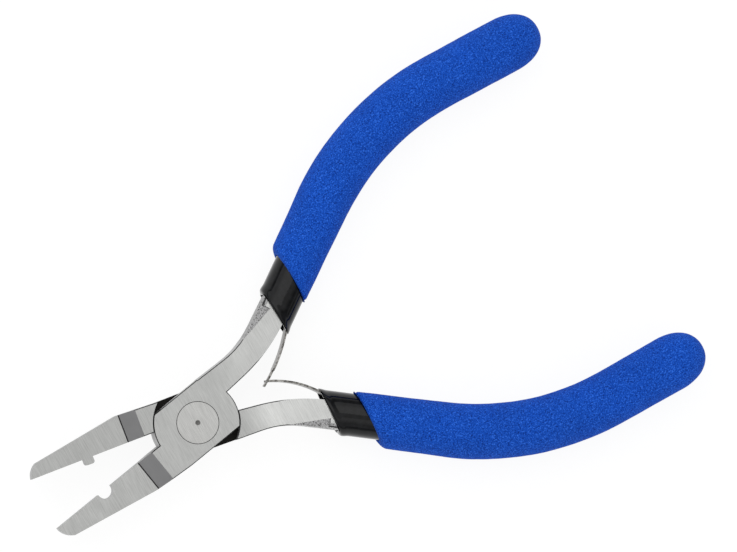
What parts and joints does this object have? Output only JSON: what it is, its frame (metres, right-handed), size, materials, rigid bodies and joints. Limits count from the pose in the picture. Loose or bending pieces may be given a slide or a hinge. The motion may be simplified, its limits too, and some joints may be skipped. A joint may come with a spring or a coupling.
{
  "type": "snap setting pliers",
  "caption": "Sprung lap-joint hand pliers with a nib on one jaw that closes into a round notch on the other, dipped handles and curved foam grips.",
  "frame": {"origin": "on the pivot axis, at the back flat face of the steel joint", "axes": "+X along the tool to the handle ends, jaws to -X; +Y towards the front half's handle; +Z along the pivot towards the large rivet head"},
  "size_m": [0.1367, 0.0859, 0.0128],
  "materials": {
    "half_steel": "ground and brushed",
    "rivet_steel": "ground flush",
    "spring_steel": "bright rolled strip",
    "dipped_vinyl": "dipped, glossy black",
    "blue_foam": "closed-cell foam rubber, matte"
  },
  "bodies": {
    "front_lever": {"pivot_rivet": "rivet_steel", "front_half": "half_steel", "front_leaf_root": "spring_steel", "front_spring_pin": "rivet_steel", "front_dip_sleeve": "dipped_vinyl", "front_foam_grip": "blue_foam"},
    "front_leaf": {"front_leaf_blade": "spring_steel"},
    "rear_lever": {"rear_half": "half_steel", "rear_leaf_root": "spring_steel", "rear_spring_pin": "rivet_steel", "rear_dip_sleeve": "dipped_vinyl", "rear_foam_grip": "blue_foam"},
    "rear_leaf": {"rear_leaf_blade": "spring_steel"}
  },
  "joints": [
    {"name": "pivot", "type": "hinge", "parent": "front_lever", "child": "rear_lever", "pos_m": [0, 0, 0.0044], "axis": [0, 0, 1], "range_deg": [0, 18], "stiffness_Nm_per_rad": 0.9, "springref_deg": -8.59},
    {"name": "front_leaf_flex", "type": "hinge", "parent": "front_lever", "child": "front_leaf", "pos_m": [0.02556, 0.00805, 0.0044], "axis": [0, 0, 1], "range_deg": [-14.8, 0]},
    {"name": "rear_leaf_flex", "type": "hinge", "parent": "rear_lever", "child": "rear_leaf", "pos_m": [0.0257, -0.00716, 0.0044], "axis": [0, 0, 1], "range_deg": [0, 14.8]}
  ],
  "couplings": [
    {"joint": "front_leaf_flex", "follows": "pivot", "ratio": -0.81463},
    {"joint": "rear_leaf_flex", "follows": "pivot", "ratio": 0.81463}
  ]
}
